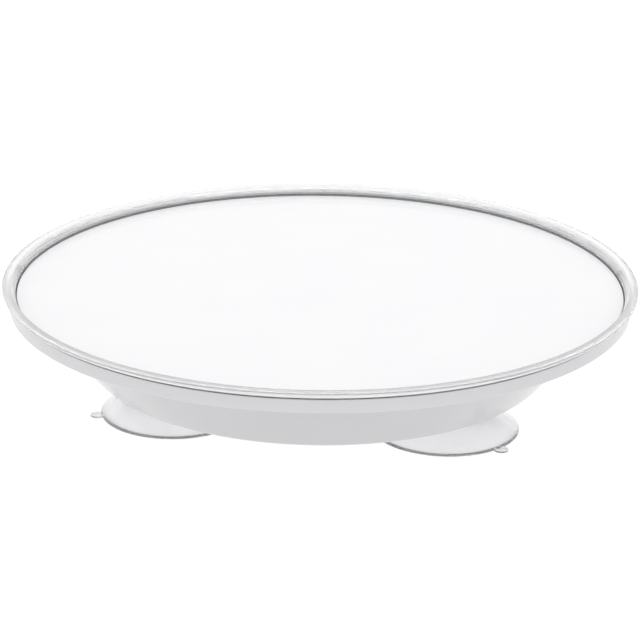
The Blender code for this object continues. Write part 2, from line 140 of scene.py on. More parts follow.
# Bearing
RACE_INNER, RACE_OUTER = reach("lower_race")
LOWER_RACE_LOW, LOWER_RACE_FACE = heights("lower_race")
UPPER_RACE_FACE, UPPER_RACE_HIGH = heights("upper_race")
BALL_HEIGHT = (LOWER_RACE_FACE + UPPER_RACE_FACE) / 2
BALL_RADIUS = (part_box("ball_01")[1].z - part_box("ball_01")[0].z) / 2
BALL_COUNT = sum(node.startswith("ball_") and node != "ball_cage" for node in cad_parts)
CAGE_INNER, CAGE_OUTER = reach("ball_cage")
CAGE_LOW, CAGE_HIGH = heights("ball_cage")
BALL_CIRCLE_RADIUS = (CAGE_INNER + CAGE_OUTER) / 2
RACE_CHAMFER = 0.3 * MM
SEAT_WALL = 2.2 * MM
SEAT_THICKNESS = 2.6 * MM
POCKET_EDGE = 0.25 * MM

# Screws and washer
SCREW_COUNT = 4
SCREW_CIRCLE_RADIUS = (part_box("upper_race_screw_1")[0].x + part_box("upper_race_screw_1")[1].x) / 2
SCREW_HEAD_RADIUS = 2.4 * MM
SCREW_RADIUS = 1.4 * MM
SCREW_HEAD = 1.4 * MM
SCREW_HEAD_EDGE = 0.2 * MM
SCREW_POINT = 1.2 * MM
SCREW_POINT_NARROWING = 3  # how many times narrower the blunt point is than the shank
SCREW_BOSS_RADIUS = 3.6 * MM
SCREW_BOSS_FLOOR = 1.5 * MM
THREAD_PITCH = 0.9 * MM
THREAD_DEPTH = 0.28 * MM
THREAD_CUTS = 8  # rows of points to each turn of the thread
RECESS_WIDTH = 0.62 * MM
RECESS_SPAN = 2.6 * MM
RECESS_DEPTH = 0.9 * MM
RECESS_TAPER = 0.5  # size of a slot's lower end as a share of its upper end
PIVOT_LOW, PIVOT_TOP = heights("pivot_screw")
PIVOT_HEAD_RADIUS = reach("pivot_screw")[1]
PIVOT_HEAD = 1.9 * MM
PIVOT_RADIUS = 1.6 * MM
WASHER_LOW, WASHER_HIGH = heights("pivot_washer")
WASHER_INNER, WASHER_OUTER = reach("pivot_washer")
WASHER_EDGE = 0.15 * MM

# Ribs
RIB_THICKNESS = 1.6 * MM
RIB_OVERLAP = 0.6 * MM

# Suction cups
CUP_CIRCLE_RADIUS = 73.7 * MM
CUP_RADIUS = 34.5 * MM
CUP_LIP_WIDTH = 2.6 * MM
CUP_EDGE = 0.8 * MM
CUP_EDGE_ROUND = 0.25 * MM
CUP_EDGE_START = 60  # degrees, where the dome runs into its round edge
CUP_CROWN_RADIUS = 11.0 * MM
CUP_CROWN = 14.6 * MM
CUP_CROWN_ROUND = 1.0 * MM
CUP_HOLLOW = 9.2 * MM
CUP_DOME_DROP = 0.35  # a quarter of this, times the crown's height, is the sag of the dome's side
NECK_RADIUS = 6.7 * MM
CUP_HEAD_RADIUS = 8.6 * MM
CUP_HEAD_TOP = heights("suction_cup_left")[1]
CUP_HEAD_SIDE = 2.4 * MM
CUP_HEAD_FLAT_RADIUS = 5.2 * MM
CUP_HEAD_ROUND = 0.5 * MM
TAB_RADIUS = 3.4 * MM
TAB_REACH = 36.4 * MM
TAB_BOTTOM = 0.25 * MM
TAB_TOP = 1.0 * MM
TAB_RIM = 0.7 * MM
TAB_DISH = 0.2 * MM
TAB_ROUND = 0.2 * MM
# name, bearing of the cup's centre, bearing that its pull tab points to
CUPS = (
    ("left", -60.0, -70.0),
    ("right", 60.0, 49.5),
    ("rear", 180.0, 197.0),
)

# Tones of the white plastic, and the spread of noise
SKIRT_TONE = 0.615
# The base is the same plastic as the platter. Its lower tone is painted shade.
BASE_PAINTED_SHADE_TONE = 0.53
TONE_SPREAD = 0.006
TONE_BLUE = 0.012  # how much more blue than red and green
NOISE_LOW, NOISE_HIGH = 0.3, 0.7  # the part of the noise's range that is stretched over the whole

# Camera, as the object is pictured: from the front, a little above
CAMERA_BEARING = 7.5  # degrees, as bearing_point() takes them
CAMERA_ELEVATION = math.radians(19.12)
CAMERA_ROLL = math.radians(0.59)
CAMERA_DISTANCE = 7.32 * LIP_RADIUS
CAMERA_AIM_HEIGHT = 59.3 * MM
CAMERA_LENS = 130.0
CAMERA_SHIFT_X = -0.0006
CAMERA_SHIFT_Y = -0.0723
SENSOR = 36.0

# Floor and light
FLOOR_SIZE = 12.0
FLOOR_DROP = 0.05 * MM
FLOOR_GREY = 0.15
FLOOR_GLOW = 0.94
WHITE = (1.0, 1.0, 1.0, 1.0)
WORLD_STRENGTH = 1.05
OVERHEAD_PLACE = (0.0, 0.4, 1.6)
OVERHEAD_SIZE = (1.6, 1.2)
OVERHEAD_POWER = 4.0


# ---------------------------------------------------------------- outlines


def rounded(corners):
    """A closed outline through (radius, height, fillet) corners, with each fillet as an arc."""
    outline = []
    for i, (radius, height, fillet) in enumerate(corners):
        here = Vector((radius, height))
        if not fillet:
            outline.append(tuple(here))
            continue
        before = (Vector(corners[i - 1][:2]) - here).normalized()
        after = (Vector(corners[(i + 1) % len(corners)][:2]) - here).normalized()
        half = before.angle(after) / 2
        centre = here + (before + after).normalized() * (fillet / math.sin(half))
        start = here + before * (fillet / math.tan(half)) - centre
        turn = start.angle_signed(here + after * (fillet / math.tan(half)) - centre)
        for step in range(FILLET_STEPS + 1):
            outline.append(tuple(centre + Matrix.Rotation(-turn * step / FILLET_STEPS, 2) @ start))
    return outline


def arc(centre, radii, start, end, steps):
    """Points of an ellipse's arc as (radius, height), in degrees from outwards towards up."""
    angles = [math.radians(start + (end - start) * i / steps) for i in range(steps + 1)]
    return [(centre[0] + radii[0] * math.cos(a), centre[1] + radii[1] * math.sin(a)) for a in angles]


def bearing_point(radius, degrees):
    """The point at this bearing from the front (-Y) towards +X."""
    angle = math.radians(degrees)
    return radius * math.sin(angle), -radius * math.cos(angle)


def circle_points(radius, count, turn=0.0):
    """Evenly spaced points round the axis, each with its angle from +X."""
    angles = [turn + math.tau * i / count for i in range(count)]
    return [(radius * math.cos(a), radius * math.sin(a), a) for a in angles]


# ---------------------------------------------------------------- meshes


def spin(bm, outline, steps, x=0.0, y=0.0, closed=True):
    """Turns an outline of (radius, height) points about the upright line through (x, y).

    A closed outline makes a ring. An open one starts and ends on the line and makes a solid.
    """
    rings = []
    for point, following in zip(outline, outline[1:] + outline[:1]):
        if math.dist(point, following) < MERGE:
            continue
        radius, height = point
        if radius > 0.0:
            ring = [bm.verts.new((x + dx, y + dy, height)) for dx, dy, _ in circle_points(radius, steps)]
        else:
            ring = [bm.verts.new((x, y, height))] * steps
        rings.append(ring)
    pairs = list(zip(rings, rings[1:]))
    if closed:
        pairs.append((rings[-1], rings[0]))
    for upper, lower in pairs:
        for i in range(steps):
            corners = (upper[i - 1], upper[i], lower[i], lower[i - 1])
            bm.faces.new(list(dict.fromkeys(corners)))


def block(bm, size, place):
    """A box of this size, centred on its place."""
    bmesh.ops.create_cube(bm, size=1.0, matrix=place @ Matrix.Diagonal((*size, 1.0)))


def rib(bm, angle, inner, outer, low, high):
    """A radial rib between two radii."""
    place = Matrix.Translation(((inner + outer) / 2, 0.0, (low + high) / 2))
    block(bm, (outer - inner, RIB_THICKNESS, high - low), Matrix.Rotation(angle, 4, "Z") @ place)


def to_object(bm, name):
    """Puts the mesh into an object of the scene, with its faces' normals outwards, and frees bm."""
    bmesh.ops.recalc_face_normals(bm, faces=bm.faces)
    mesh = bpy.data.meshes.new(name)
    bm.to_mesh(mesh)
    bm.free()
    obj = bpy.data.objects.new(name, mesh)
    bpy.context.scene.collection.objects.link(obj)
    return obj


def turned(name, outline, steps, x=0.0, y=0.0, closed=True):
    """An object that spin() makes from an outline."""
    bm = bmesh.new()
    spin(bm, outline, steps, x, y, closed)
    return to_object(bm, name)


def settle(obj):
    """Replaces the object's mesh with what its modifiers make of it."""
    bpy.context.view_layer.update()
    done = bpy.data.meshes.new_from_object(obj.evaluated_get(bpy.context.evaluated_depsgraph_get()))
    old = obj.data
    obj.modifiers.clear()
    obj.data = done
    bpy.data.meshes.remove(old)


def combine(obj, bm, operation):
    """Joins or cuts the object with the mesh that bm holds."""
    other = to_object(bm, "tool")
    boolean = obj.modifiers.new(operation.lower(), "BOOLEAN")
    boolean.operation = operation
    boolean.object = other
    boolean.solver = "EXACT"
    settle(obj)
    bpy.data.objects.remove(other)


def finish_piece(obj, material, slot, body, *nodes):
    """Smooth shading with crisp corners, the material, and the piece's place in the frame."""
    obj.data.materials.clear()
    obj.data.materials.append(material)
    obj.data.shade_smooth()
    obj.data.set_sharp_from_angle(angle=SHARP_ANGLE)
    weighted = obj.modifiers.new("flat_faces_stay_flat", "WEIGHTED_NORMAL")
    weighted.keep_sharp = True
    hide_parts(*nodes)
    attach(obj, body)


# ---------------------------------------------------------------- materials


class Shade:
    """A material with one Principled shader, and short ways to add the nodes that feed it."""

    def __init__(self, name, **values):
        self.material = bpy.data.materials.new(name)
        self.material.use_nodes = True
        self.tree = self.material.node_tree
        self.shader = self.tree.nodes["Principled BSDF"]
        for socket, value in values.items():
            self.shader.inputs[socket.replace("_", " ")].default_value = value
        self.place = self.tree.nodes.new("ShaderNodeTexCoord").outputs["Object"]

    def node(self, kind, **values):
        """A new node with these settings."""
        made = self.tree.nodes.new(kind)
        for name, value in values.items():
            setattr(made, name, value)
        return made

    def link(self, source, target):
        self.tree.links.new(source, target)

    def math(self, operation, first, second=0.0):
        """The result of a Math node. Each input is a number or another node's output."""
        made = self.node("ShaderNodeMath", operation=operation)
        for socket, value in zip(made.inputs, (first, second)):
            if isinstance(value, float):
                socket.default_value = value
            else:
                self.link(value, socket)
        return made.outputs[0]

    def noise(self, size, detail=3.0, place=None):
        """Noise from 0 to 1 whose blobs are about this many metres across."""
        made = self.node("ShaderNodeTexNoise")
        made.inputs["Scale"].default_value = 1.0 / size
        made.inputs["Detail"].default_value = detail
        self.link(place or self.place, made.inputs["Vector"])
        return made.outputs["Fac"]

    def ring_place(self, drift):
        """Radius and height as coordinates, so that a texture on them makes rings that drift a little."""
        parts = self.node("ShaderNodeSeparateXYZ")
        self.link(self.place, parts.inputs[0])
        x, y, z = parts.outputs
        squares = self.math("ADD", self.math("MULTIPLY", x, x), self.math("MULTIPLY", y, y))
        radius = self.math("SQRT", squares)
        joined = self.node("ShaderNodeCombineXYZ")
        self.link(radius, joined.inputs[0])
        self.link(z, joined.inputs[1])
        self.link(self.math("MULTIPLY", self.math("ADD", x, y), drift), joined.inputs[2])
        return joined.outputs[0]

    def spread(self, source, low, high):
        """Maps 0..1 noise to low..high, with its middle part stretched over the whole range."""
        made = self.node("ShaderNodeMapRange")
        made.inputs["From Min"].default_value = NOISE_LOW
        made.inputs["From Max"].default_value = NOISE_HIGH
        made.inputs["To Min"].default_value = low
        made.inputs["To Max"].default_value = high
        self.link(source, made.inputs["Value"])
        return made.outputs["Result"]

    def colours(self, source, low, high):
        """Base colour that wanders between two colours."""
        made = self.node("ShaderNodeMix", data_type="RGBA")
        self.link(self.spread(source, 0.0, 1.0), made.inputs["Factor"])
        made.inputs["A"].default_value = (*low, 1.0)
        made.inputs["B"].default_value = (*high, 1.0)
        self.link(made.outputs["Result"], self.shader.inputs["Base Color"])

    def roughness(self, source, low, high):
        """Roughness that wanders between two values."""
        self.link(self.spread(source, low, high), self.shader.inputs["Roughness"])

    def bump(self, source, depth):
        """Height detail this many metres deep."""
        made = self.node("ShaderNodeBump")
        made.inputs["Distance"].default_value = depth
        self.link(source, made.inputs["Height"])
        self.link(made.outputs["Normal"], self.shader.inputs["Normal"])


def gloss_white():
    """The plate: polished and slightly cool, with faint wipe marks in its shine."""
    shade = Shade("gloss_white_plate", IOR=1.5)
    shade.colours(shade.noise(40 * MM), (0.80, 0.80, 0.815), (0.815, 0.815, 0.825))
    shade.roughness(shade.noise(18 * MM, 5.0), 0.05, 0.11)
    shade.bump(shade.noise(9 * MM, 2.0), 0.01 * MM)
    return shade.material


def white_plastic(name, tone):
    """Moulded plastic with a soft gloss, a trace of grain and slow changes of tone."""
    shade = Shade(name, IOR=1.46)
    low, high = tone - TONE_SPREAD, tone + TONE_SPREAD
    shade.colours(shade.noise(30 * MM), (low, low, low + TONE_BLUE), (high, high, high + TONE_BLUE))
    shade.roughness(shade.noise(20 * MM), 0.13, 0.16)
    shade.bump(shade.noise(0.45 * MM, 2.0), 0.002 * MM)
    return shade.material


def clear_acrylic():
    """The lip: clear with some haze, and very faint rings in its shine."""
    shade = Shade("clear_acrylic", IOR=1.49, Transmission_Weight=0.70)
    shade.colours(shade.noise(25 * MM), (0.96, 0.96, 0.97), (0.98, 0.98, 0.985))
    shade.roughness(shade.noise(3 * MM, 2.0, place=shade.ring_place(0.05)), 0.08, 0.11)
    return shade.material


def grey_rubber():
    """The seal: dull grey rubber with a fine grain."""
    shade = Shade("grey_gasket", IOR=1.5)
    shade.colours(shade.noise(3 * MM), (0.24, 0.25, 0.25), (0.29, 0.30, 0.30))
    shade.roughness(shade.noise(1.5 * MM), 0.45, 0.65)
    shade.bump(shade.noise(0.3 * MM), 0.01 * MM)
    return shade.material


def clear_pvc():
    """The suction cups: soft clear vinyl, slightly lilac, with slow waves and haze."""
    shade = Shade("clear_pvc", IOR=1.5, Transmission_Weight=0.88)
    shade.colours(shade.noise(12 * MM), (0.96, 0.955, 0.975), (0.98, 0.975, 0.99))
    shade.roughness(shade.noise(7 * MM), 0.10, 0.16)
    shade.bump(shade.noise(8 * MM, 2.0), 0.015 * MM)
    return shade.material


def race_steel():
    """The bearing's rings: steel with fine marks round it from turning."""
    shade = Shade("steel_race", Metallic=1.0)
    rings = shade.noise(0.25 * MM, 4.0, place=shade.ring_place(0.002))
    shade.colours(shade.noise(14 * MM), (0.56, 0.56, 0.565), (0.64, 0.64, 0.645))
    shade.roughness(rings, 0.22, 0.38)
    shade.bump(rings, 0.004 * MM)
    return shade.material


def ball_steel():
    """Polished steel with the faintest wear."""
    shade = Shade("steel_ball", Metallic=1.0)
    shade.colours(shade.noise(1.2 * MM), (0.70, 0.70, 0.72), (0.76, 0.76, 0.78))
    shade.roughness(shade.noise(0.6 * MM), 0.06, 0.14)
    shade.bump(shade.noise(0.4 * MM), 0.001 * MM)
    return shade.material


def cage_nylon():
    """The ball cage: off-white moulded nylon, duller than the base."""
    shade = Shade("cage_plastic", IOR=1.53)
    shade.colours(shade.noise(8 * MM), (0.74, 0.74, 0.71), (0.80, 0.80, 0.77))
    shade.roughness(shade.noise(3 * MM), 0.40, 0.52)
    shade.bump(shade.noise(0.35 * MM, 2.0), 0.01 * MM)
    return shade.material


def zinc():
    """Zinc-plated steel for screws and washer, slightly blue and uneven."""
    shade = Shade("zinc_screw", Metallic=1.0)
    shade.colours(shade.noise(1.0 * MM), (0.62, 0.63, 0.67), (0.72, 0.73, 0.75))
    shade.roughness(shade.noise(0.5 * MM), 0.22, 0.36)
    shade.bump(shade.noise(0.2 * MM), 0.003 * MM)
    return shade.material


# ---------------------------------------------------------------- turntable


def clear_lip(material):
    """Flat on top, rounded in under its outside, with a leg that reaches inside the platter's wall."""
    outer = (LIP_RADIUS - LIP_OUTER_ROUND, LIP_TOP - LIP_OUTER_ROUND)
    inner = (LIP_TOP_INNER + LIP_INNER_ROUND, LIP_TOP - LIP_INNER_ROUND)
    under = (LIP_FOOT_OUTER, outer[1])
    under_radii = (LIP_RADIUS - LIP_FOOT_OUTER, outer[1] - LIP_FOOT)
    outline = arc(inner, (LIP_INNER_ROUND, LIP_INNER_ROUND), 180, 90, ROUND_STEPS)
    outline += arc(outer, (LIP_OUTER_ROUND, LIP_OUTER_ROUND), 90, 0, ROUND_STEPS)
    outline += arc(under, under_radii, 0, -90, CURVE_STEPS)[1:]
    outline.append((LIP_LEG_OUTER, LIP_FOOT))
    rounding = (LIP_FOOT_ROUND, LIP_FOOT_ROUND)
    low = LIP_LEG_BOTTOM + LIP_FOOT_ROUND
    outline += arc((LIP_LEG_OUTER - LIP_FOOT_ROUND, low), rounding, 0, -90, FILLET_STEPS)
    outline += arc((LIP_LEG_INNER + LIP_FOOT_ROUND, low), rounding, -90, -180, FILLET_STEPS)
    lip = turned("clear_lip", outline, LIP_STEPS)
    finish_piece(lip, material, "clear_acrylic", "turntable", "lip_ring")


def lip_seal(material):
    """Stands between the plate and the wall, steps up round the lip's leg, and lies on the wall's top."""
    step = LIP_LEG_BOTTOM - GAP
    high = LIP_FOOT - GAP
    low = high - SEAL_THICKNESS
    riser = LIP_LEG_OUTER + GAP
    back = riser + SEAL_THICKNESS
    tip = LIP_FOOT_OUTER - SEAL_TIP_INSET
    corners = [
        (SEAL_INNER, step, SEAL_ROUND),
        (riser, step, 0.0),
        (riser, high, SEAL_ROUND),
        (tip, high, SEAL_ROUND),
        (tip, low, SEAL_ROUND),
        (back, low, 0.0),
        (back, SEAL_LOW, SEAL_ROUND),
        (SEAL_INNER, SEAL_LOW, SEAL_ROUND),
    ]
    seal = turned("lip_seal", rounded(corners), RING_STEPS)
    finish_piece(seal, material, "grey_gasket", "turntable", "lip_gasket")


def plate(material):
    """A disc with a polished round edge."""
    top = (PLATE_RADIUS - PLATE_ROUND, PLATE_TOP - PLATE_ROUND)
    under = (PLATE_RADIUS - PLATE_UNDER_ROUND, PLATE_LOW + PLATE_UNDER_ROUND)
    outline = [(0.0, PLATE_TOP)]
    outline += arc(top, (PLATE_ROUND, PLATE_ROUND), 90, 0, ROUND_STEPS)
    outline += arc(under, (PLATE_UNDER_ROUND, PLATE_UNDER_ROUND), 0, -90, FILLET_STEPS)
    outline.append((0.0, PLATE_LOW))
    disc = turned("white_plate", outline, RING_STEPS, closed=False)
    finish_piece(disc, material, "gloss_white_plate", "turntable", "top_plate")


def screw_places(upper):
    """Where a race's screws stand. The lower ones stand midway between the upper ones."""
    return circle_points(SCREW_CIRCLE_RADIUS, SCREW_COUNT, 0.0 if upper else math.pi / SCREW_COUNT)


def race_face(upper):
    """Height of a race's face, which holds the groove and the screws' heads."""
    return UPPER_RACE_FACE if upper else LOWER_RACE_FACE


def screw_length(upper):
    """Length of a race's screws, heads included."""
    low, high = heights("upper_race_screw_1" if upper else "lower_race_screw_1")
    return high - low


def screw_holes(upper):
    """Countersunk holes, as one mesh for a Boolean."""
    way = 1.0 if upper else -1.0
    face = race_face(upper)
    end = face + way * (screw_length(upper) + 2 * GAP)
    outline = [
        (0.0, face - way * 2 * GAP),
        (SCREW_HEAD_RADIUS + GAP, face - way * 2 * GAP),
        (SCREW_HEAD_RADIUS + GAP, face),
        (SCREW_RADIUS + GAP, face + way * SCREW_HEAD),
        (SCREW_RADIUS + GAP, end),
        (0.0, end),
    ]
    bm = bmesh.new()
    for x, y, _ in screw_places(upper):
        spin(bm, outline, SCREW_STEPS, x, y, closed=False)
    return bm


def screw_bosses(upper, low, high):
    """Round bosses that the screws go into."""
    bm = bmesh.new()
    sizes = {"radius1": SCREW_BOSS_RADIUS, "radius2": SCREW_BOSS_RADIUS, "depth": high - low}
    for x, y, _ in screw_places(upper):
        place = Matrix.Translation((x, y, (low + high) / 2))
        bmesh.ops.create_cone(bm, cap_ends=True, segments=SCREW_STEPS, matrix=place, **sizes)
    return bm


def platter_ribs():
    """Radial ribs inside and outside the upper race's seat."""
    bm = bmesh.new()
    high = PLATTER_BOTTOM + RIB_OVERLAP
    for _, _, angle in circle_points(1.0, PLATTER_RIB_COUNT, math.pi / PLATTER_RIB_COUNT):
        rib(bm, angle, HUB_RADIUS - RIB_OVERLAP, RACE_INNER + RIB_OVERLAP, UNDER_RIB_BOTTOM, high)
        rib(bm, angle, RACE_OUTER - RIB_OVERLAP, SKIRT_RIB_RADIUS, UNDER_RIB_BOTTOM, high)
    return bm


def platter(material):
    """White dish: its outside is the skirt, and hub, seat rings and ribs are on its underside."""
    seat = UPPER_RACE_HIGH + GAP
    inner_wall = PLATTER_RADIUS - PLATTER_WALL
    skirt_inner = SKIRT_RIB_RADIUS - RIB_THICKNESS / 2
    skirt_outer = SKIRT_RIB_RADIUS + RIB_THICKNESS / 2
    edge = PLATTER_FILLET
    corners = [
        (COUNTERBORE_RADIUS, DECK_TOP, edge),
        (inner_wall, DECK_TOP, edge),
        (inner_wall, PLATTER_WALL_TOP, edge),
        (PLATTER_RADIUS, PLATTER_WALL_TOP, PLATTER_EDGE),
        (PLATTER_RADIUS, PLATTER_BOTTOM, PLATTER_ROUND),
        (skirt_outer, PLATTER_BOTTOM, edge),
        (skirt_outer, seat, edge),
        (skirt_inner, seat, edge),
        (skirt_inner, PLATTER_BOTTOM, edge),
        (RACE_OUTER, PLATTER_BOTTOM, edge),
        (RACE_OUTER, seat, edge),
        (RACE_OUTER - SEAT_WALL, seat, edge),
        (RACE_OUTER - SEAT_WALL, PLATTER_BOTTOM, edge),
        (RACE_INNER + SEAT_WALL, PLATTER_BOTTOM, edge),
        (RACE_INNER + SEAT_WALL, seat, edge),
        (RACE_INNER, seat, edge),
        (RACE_INNER, PLATTER_BOTTOM, edge),
        (HUB_RADIUS, PLATTER_BOTTOM, edge),
        (HUB_RADIUS, HUB_BOTTOM, edge),
        (BORE_RADIUS, HUB_BOTTOM, edge),
        (BORE_RADIUS, HUB_LEDGE, edge),
        (COUNTERBORE_RADIUS, HUB_LEDGE, edge),
    ]
    dish = turned("white_platter", rounded(corners), RING_STEPS)
    combine(dish, platter_ribs(), "UNION")
    combine(dish, screw_bosses(True, seat, PLATTER_BOTTOM + RIB_OVERLAP), "UNION")
    combine(dish, screw_holes(True), "DIFFERENCE")
    finish_piece(dish, material, "white_plastic", "turntable", "platter")


# ---------------------------------------------------------------- bearing


def race(upper, material):
    """A turned ring: bevelled edges, a round ball groove, and countersunk holes."""
    groove = BALL_RADIUS + GAP
    drop = BALL_HEIGHT - LOWER_RACE_FACE
    edge = math.degrees(math.asin(drop / groove))
    face, back = LOWER_RACE_FACE, LOWER_RACE_LOW
    outline = [(RACE_INNER, face - RACE_CHAMFER), (RACE_INNER + RACE_CHAMFER, face)]
    outline += arc((BALL_CIRCLE_RADIUS, BALL_HEIGHT), (groove, groove), 180 + edge, 360 - edge, CURVE_STEPS)
    outline += [(RACE_OUTER - RACE_CHAMFER, face), (RACE_OUTER, face - RACE_CHAMFER)]
    outline += [(RACE_OUTER, back + RACE_CHAMFER), (RACE_OUTER - RACE_CHAMFER, back)]
    outline += [(RACE_INNER + RACE_CHAMFER, back), (RACE_INNER, back + RACE_CHAMFER)]
    if upper:
        outline = [(radius, 2 * BALL_HEIGHT - height) for radius, height in reversed(outline)]
    side = "upper" if upper else "lower"
    ring = turned(f"{side}_bearing_ring", outline, RING_STEPS)
    combine(ring, screw_holes(upper), "DIFFERENCE")
    finish_piece(ring, material, "steel_race", "turntable" if upper else "base", f"{side}_race")


def ball(name, x, y, material, node):
    """A cube's faces cut fine and pushed out to a sphere, which has no poles."""
    bm = bmesh.new()
    bmesh.ops.create_cube(bm, size=1.0)
    bmesh.ops.subdivide_edges(bm, edges=bm.edges, cuts=BALL_CUTS, use_grid_fill=True)
    for vert in bm.verts:
        vert.co = vert.co.normalized() * BALL_RADIUS + Vector((x, y, BALL_HEIGHT))
    finish_piece(to_object(bm, name), material, "steel_ball", "cage", node)


def balls(material):
    """All the balls, evenly round the groove."""
    for number, (x, y, _) in enumerate(circle_points(BALL_CIRCLE_RADIUS, BALL_COUNT), 1):
        ball(f"bearing_ball_{number:02d}", x, y, material, f"ball_{number:02d}")


def cage(material):
    """A flat plastic ring with a round pocket for each ball."""
    corners = [
        (CAGE_INNER, CAGE_HIGH, POCKET_EDGE),
        (CAGE_OUTER, CAGE_HIGH, POCKET_EDGE),
        (CAGE_OUTER, CAGE_LOW, POCKET_EDGE),
        (CAGE_INNER, CAGE_LOW, POCKET_EDGE),
    ]
    ring = turned("cage_ring", rounded(corners), RING_STEPS)
    hole = BALL_RADIUS + GAP
    outline = [
        (0.0, CAGE_HIGH + POCKET_EDGE),
        (hole + 2 * POCKET_EDGE, CAGE_HIGH + POCKET_EDGE),
        (hole, CAGE_HIGH - POCKET_EDGE),
        (hole, CAGE_LOW + POCKET_EDGE),
        (hole + 2 * POCKET_EDGE, CAGE_LOW - POCKET_EDGE),
        (0.0, CAGE_LOW - POCKET_EDGE),
    ]
    bm = bmesh.new()
    for x, y, _ in circle_points(BALL_CIRCLE_RADIUS, BALL_COUNT):
        spin(bm, outline, POCKET_STEPS, x, y, closed=False)
    combine(ring, bm, "DIFFERENCE")
    finish_piece(ring, material, "cage_plastic", "cage", "ball_cage")


# ---------------------------------------------------------------- screws


def thread_outline(head, radius, length):
    """Head points, then a plain shank that thread() later cuts, down to a blunt point. Heights fall."""
    shank_top = head[-1][1]
    bottom = head[0][1] - length
    rows = round((shank_top - bottom - SCREW_POINT) / THREAD_PITCH * THREAD_CUTS)
    step = (shank_top - bottom - SCREW_POINT) / rows
    outline = head + [(radius, shank_top - step * row) for row in range(1, rows + 1)]
    return outline + [(radius / SCREW_POINT_NARROWING, bottom), (0.0, bottom)]


def thread(bm, radius, top):
    """Pulls the shank in between the turns of a helix."""
    for vert in bm.verts:
        flat = Vector((vert.co.x, vert.co.y))
        if vert.co.z > top - MERGE or flat.length < radius - MERGE:
            continue
        turns = vert.co.z / THREAD_PITCH - math.atan2(flat.y, flat.x) / math.tau
        depth = THREAD_DEPTH * abs(2 * (turns % 1.0) - 1)
        flat *= (radius - depth) / flat.length
        vert.co.x, vert.co.y = flat


def recess_slot(angle):
    """One slot of the driver's cross, narrower towards its floor."""
    bm = bmesh.new()
    block(bm, (RECESS_SPAN, RECESS_WIDTH, 2 * RECESS_DEPTH), Matrix.Rotation(angle, 4, "Z"))
    for vert in bm.verts:
        if vert.co.z < 0.0:
            vert.co.x *= RECESS_TAPER
            vert.co.y *= RECESS_TAPER
    return bm


def screw(name, head, radius, length, place, material, body, node):
    """A screw made at the origin, its head's top at height 0, and then put in place."""
    bm = bmesh.new()
    spin(bm, thread_outline(head, radius, length), SCREW_STEPS, closed=False)
    thread(bm, radius, head[-1][1])
    made = to_object(bm, name)
    for angle in (0.0, math.pi / 2):
        combine(made, recess_slot(angle), "DIFFERENCE")
    made.data.transform(place)
    finish_piece(made, material, "zinc_screw", body, node)


def race_screws(upper, material):
    """Countersunk screws. The upper ones point up, into the platter."""
    head = [(0.0, 0.0), (SCREW_HEAD_RADIUS - SCREW_HEAD_EDGE, 0.0)]
    head += [(SCREW_HEAD_RADIUS, -SCREW_HEAD_EDGE), (SCREW_RADIUS, -SCREW_HEAD)]
    side = "upper" if upper else "lower"
    for number, (x, y, angle) in enumerate(screw_places(upper), 1):
        place = Matrix.Translation((x, y, race_face(upper))) @ Matrix.Rotation(angle, 4, "Z")
        if upper:
            place = place @ Matrix.Rotation(math.pi, 4, "X")
        name, node = f"{side}_ring_screw_{number}", f"{side}_race_screw_{number}"
        body = "turntable" if upper else "base"
        screw(name, head, SCREW_RADIUS, screw_length(upper), place, material, body, node)


def pivot(material):
    """Pan-head screw and washer that hold the platter down on the post."""
    rounding = PIVOT_HEAD / 2
    head = [(0.0, 0.0)]
    head += arc((PIVOT_HEAD_RADIUS - rounding, -rounding), (rounding, rounding), 90, 0, ROUND_STEPS)
    head += [(PIVOT_HEAD_RADIUS, -PIVOT_HEAD), (PIVOT_RADIUS, -PIVOT_HEAD)]
    place = Matrix.Translation((0.0, 0.0, PIVOT_TOP))
    length = PIVOT_TOP - PIVOT_LOW
    screw("centre_screw", head, PIVOT_RADIUS, length, place, material, "base", "pivot_screw")
    corners = [
        (WASHER_INNER, WASHER_HIGH, WASHER_EDGE),
        (WASHER_OUTER, WASHER_HIGH, WASHER_EDGE),
        (WASHER_OUTER, WASHER_LOW, WASHER_EDGE),
        (WASHER_INNER, WASHER_LOW, WASHER_EDGE),
    ]
    washer = turned("centre_washer", rounded(corners), CUP_STEPS)
    finish_piece(washer, material, "zinc_screw", "base", "pivot_washer")


# ---------------------------------------------------------------- base


def base_ribs():
    """Radial ribs from the post to the seat ring, on the bowl's floor."""
    bm = bmesh.new()
    low = BASE_BOTTOM + BASE_FLOOR - RIB_OVERLAP
    for _, _, angle in circle_points(1.0, BASE_RIB_COUNT):
        rib(bm, angle, POST_RADIUS - RIB_OVERLAP, RACE_INNER + RIB_OVERLAP, low, BASE_RIB_TOP)
    return bm


def cup_sockets():
    """Holes for the cups' necks, widened a little at the bottom."""
    bm = bmesh.new()
    outline = [
        (0.0, BASE_BOTTOM - GAP),
        (SOCKET_RADIUS + SOCKET_LEAD + GAP, BASE_BOTTOM - GAP),
        (SOCKET_RADIUS, BASE_BOTTOM + SOCKET_LEAD),
        (SOCKET_RADIUS, BASE_BOTTOM + BASE_FLOOR + GAP),
        (0.0, BASE_BOTTOM + BASE_FLOOR + GAP),
    ]
    for _, bearing, _ in CUPS:
        x, y = bearing_point(CUP_CIRCLE_RADIUS, bearing)
        spin(bm, outline, CUP_STEPS, x, y, closed=False)
    return bm


